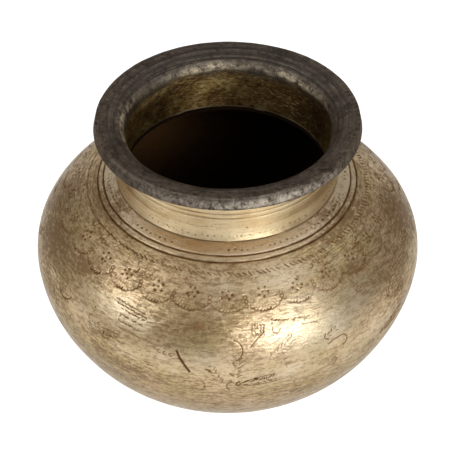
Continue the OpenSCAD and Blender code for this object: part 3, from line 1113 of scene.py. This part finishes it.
def tarnish_lip(t):
    """Where the lip is filed bright, with a painted highlight at the front and painted shade at the sides,
    dark, golden inside, and worn at the roll, with painted highlights there.
    """
    r, z = t.outline.T
    # Painted highlight on the filed face: brightest at the front and towards 22 degrees.
    front = 0.06 + 0.94 * smooth(np.cos(np.radians(t.angles - 12)), 0.55, 0.96)
    depth = LIP_TOP_Z - z[t.rows["face"]]
    down = smooth(depth, 0.8, 3.4)
    filed_highlight = 0.55 + 0.45 * blob_round(t.angles, 22, 24)
    down_face = down * (1 - 0.7 * smooth(depth, 5.2, 6.6))
    t.fill("face", "face", np.outer(down_face, front * filed_highlight))
    # Painted shade on the face's sides and back.
    t.layer("mark")[t.rows["face"]] += 0.38 * np.outer(smooth(down, 0, 0.4), 1 - front)
    t.fill("under", "under")
    gold_z = z[t.rows["top"], None] + 1.6 * ring_noise(t.angles, 14, 27)[None, :]
    t.fill("inside", "top", 1 - smooth(gold_z, 161.5, 168.0))
    t.fill("inside", "joint")
    # Worn metal and painted highlights on the roll, strongest at the listed angles.
    worn_and_highlight_z = 168.0 + 0.8 * ring_noise(t.angles, 24, 16) + 2.3 * blob_round(t.angles, -84, 34)
    worn_and_highlight = np.exp(-((z[:, None] - worn_and_highlight_z[None, :]) / 2.2) ** 2) * (r < THROAT_R + 8)[:, None]
    handled_and_highlight = 0.25 * np.ones(len(t.angles))
    for angle, width in ((-166, 16), (134, 20), (0, 30), (-84, 26)):
        handled_and_highlight += blob_round(t.angles, angle, width)
    t.layer("worn_and_highlight")[:] = worn_and_highlight * np.minimum(1, handled_and_highlight)


def bridges(angles):
    """Where the solder stands proud and rubbed across the neck's seam, from 0 to 1."""
    total = np.zeros(len(angles))
    for angle, width in ((1, 3.5), (27.5, 2.4), (-95, 2), (118, 3), (-150, 2), (160, 2.5)):
        total = np.maximum(total, blob_round(angles, angle, width))
    return total


def neck_joint(material):
    """The solder between the neck's foot and the shoulder."""
    edge_r = FOOT_R - BRAZE_INSET
    below = evenly(0.8, [(THROAT_R, seat_z(THROAT_R)), (edge_r, seat_z(edge_r))])
    outer = evenly(0.25, [below[-1], below[-1] + (0, BRAZE_H)])
    above = evenly(0.8, [outer[-1], (THROAT_R, seat_z(THROAT_R) + BRAZE_H)])
    inner = evenly(0.25, [above[-1], below[0]])
    t = Turned(PLAIN_COLUMNS, below=below[:-1], outer=outer, above=above[1:-1], inner=inner[:-1])
    bridge = bridges(t.angles)
    rows = t.rows["outer"]
    t.out[rows] += (BRAZE_INSET + 0.1) * bridge - 0.25 + 0.2 * ring_noise(t.angles, 80, 17)
    t.layer("bridge")[:] = bridge
    t.build("neck_braze_solder", "neck_braze", material)


def belly_joint(material):
    """The faint line of solder between the two halves of the body."""
    outer = evenly(0.17, bowl_outline(UPPER_SEAM_Z, LOWER_SEAM_Z))
    inner = evenly(0.25, bowl_outline(UPPER_SEAM_Z, LOWER_SEAM_Z, WALL)[::-1])
    below = evenly(1.0, [outer[-1], inner[0]])
    above = evenly(1.0, [inner[-1], outer[0]])
    t = Turned(PLAIN_COLUMNS, outer=outer, below=below[1:-1], inner=inner, above=above[1:-1])
    rows = t.rows["outer"]
    t.out[rows] += hammered(t, rows)
    t.layer("bridge")[:] = 0.5 + 0.2 * ring_noise(t.angles, 70, 18)
    t.fill("bridge", "inner", 0.0)
    darken_inside(t)
    t.build("belly_braze_line", "belly_braze", material)


def bowl(material):
    """The plain lower half, eased into the flat that it stands on."""
    flat_r = bowl_outline(BELLY_Z - 1, 0.0)[-1][0] - BASE_EASE
    side = bowl_outline(LOWER_SEAM_Z, BASE_EASE)
    run = side[-1] - side[-2]
    corner = side[-1] + run * (-BASE_EASE / run[1])
    ease = ease_outline(side[-1], corner, (flat_r, 0))
    outer = evenly(1.0, side, ease[1:], [(0, 0)])
    inner = evenly(INSIDE_STEP, [(0, FLOOR_WALL)], bowl_outline(LOWER_SEAM_Z, FLOOR_WALL, WALL)[::-1])
    edge = evenly(1.0, [inner[-1], outer[0]])
    t = Turned(PLAIN_COLUMNS, outer=outer, inner=inner, edge=edge[1:-1])
    spread_along(t)
    t.layer("along")[:] += BOWL_LINES_FROM
    rows, along = t.rows["outer"], t.measure("outer")
    side_only = smooth(t.outline[rows, 1], 1.0, 9.0)[:, None]
    t.out[rows] += hammered(t, rows) * side_only
    marks = Relief(t, "outer")
    for _ in range(120):
        path = turned_path([(0, 0), (between(0.6, 5), 0)], around(0, 25))
        marks.stroke(between(-180, 180), between(4, 70), path, 0.7, between(0.05, 0.12), between(0.1, 0.5))
    marks.apply()
    t.layer("stain_and_shade")[rows] = spotted(t, along, BOWL_STAINS)
    for shoulder_only in ("copper", "bare_and_highlight"):
        t.layer(shoulder_only)  # stays 0 on the bowl, and the brass reads it
    darken_inside(t)
    t.build("base_bowl_brass", "base_bowl", material, strips=3, close_axis=True)


# ---- the stage
def floor():
    """A wide pale floor that glows, a painted pool of light: white round the pot and dimmer further out."""
    mesh = bpy.data.meshes.new("floor")
    half = 4.0
    corners = [(-half, -half, 0), (half, -half, 0), (half, half, 0), (-half, half, 0)]
    mesh.from_pydata(corners, [], [(0, 1, 2, 3)])
    plane = in_scene("floor", mesh)
    s = Shader("floor")
    away = s.put("VectorMath", Vector=s.place)
    away.operation = "LENGTH"
    glow = s.remap(away.outputs["Value"], 0.40, 0.95, 0.93, 0.22)
    s.set(Base_Color=(0.32, 0.32, 0.32), Roughness=0.95, Specular_IOR_Level=0.1, Emission_Strength=glow)
    s.surface.inputs["Emission Color"].default_value = (1, 1, 1, 1)
    mesh.materials.append(s.material)


COOL_WHITE = (0.93, 0.97, 1.0)
LAMP_AIM = Vector((0, 0, 0.1))
CAMERA_DISTANCE = 0.796  # m
CAMERA_ELEVATION = 40.82  # degrees
CAMERA_LENS = 110.1  # mm
CAMERA_AIM = (-0.0010, 0.0, 0.1005)  # m
CAMERA_DROP = 0.0028  # m down the picture, which frames the pot as in the photo


def direction(azimuth, elevation):
    """Unit vector towards a place. Azimuth 0 is -Y, and grows towards +X."""
    a, e = math.radians(azimuth), math.radians(elevation)
    return Vector((math.sin(a) * math.cos(e), -math.cos(a) * math.cos(e), math.sin(e)))


def aim_from(item, azimuth, elevation, distance, aim):
    """Places a lamp or camera so that it looks at aim."""
    item.location = aim + direction(azimuth, elevation) * distance
    item.rotation_euler = (aim - item.location).to_track_quat("-Z", "Y").to_euler()


def softbox(name, azimuth, elevation, distance, width, height, watts, colour=(1.0, 1.0, 1.0)):
    light = bpy.data.lights.new(name, "AREA")
    light.shape = "RECTANGLE"
    light.size = width
    light.size_y = height
    light.energy = watts
    light.color = colour
    aim_from(in_scene(name, light), azimuth, elevation, distance, LAMP_AIM)


def lights():
    softbox("key", 29, 21.5, 1.3, 0.30, 0.32, 3.6, COOL_WHITE)
    softbox("key_soft", 27, 25, 1.35, 0.90, 0.80, 6.3, COOL_WHITE)
    softbox("left", -60, 32, 1.3, 0.60, 0.70, 4.3, COOL_WHITE)
    softbox("far_left", -106, 36, 1.3, 0.90, 0.80, 0.8)
    softbox("far_right", 108, 48, 1.3, 1.00, 0.90, 0.9)
    softbox("over", 150, 84, 1.3, 2.0, 1.1, 4.8)
    softbox("back_left", -152, 5, 1.4, 0.6, 0.35, 0.7)
    softbox("back_right", 148, 5, 1.4, 0.6, 0.35, 0.8)
    world = bpy.data.worlds.new("studio")
    world.use_nodes = True
    background = world.node_tree.nodes["Background"].inputs
    background["Color"].default_value = (1.0, 0.98, 0.96, 1)
    background["Strength"].default_value = 0.40
    bpy.context.scene.world = world


def camera():
    data = bpy.data.cameras.new("camera")
    eye = in_scene("camera", data)
    data.sensor_width = 36.0
    data.lens = CAMERA_LENS
    up = Vector((0, math.sin(math.radians(CAMERA_ELEVATION)), math.cos(math.radians(CAMERA_ELEVATION))))
    aim_from(eye, 0, CAMERA_ELEVATION, CAMERA_DISTANCE, Vector(CAMERA_AIM) - up * CAMERA_DROP)
    data.clip_start = 0.01
    bpy.context.scene.camera = eye


# ---- assembly
brass = body_brass()
turned_brass = neck_brass()
solder = braze()
shoulder(brass)
collar(turned_brass)
lip(lip_bronze())
neck_joint(solder)
belly_joint(solder)
bowl(brass)
floor()
lights()
camera()
bpy.context.scene.view_settings.view_transform = "Standard"
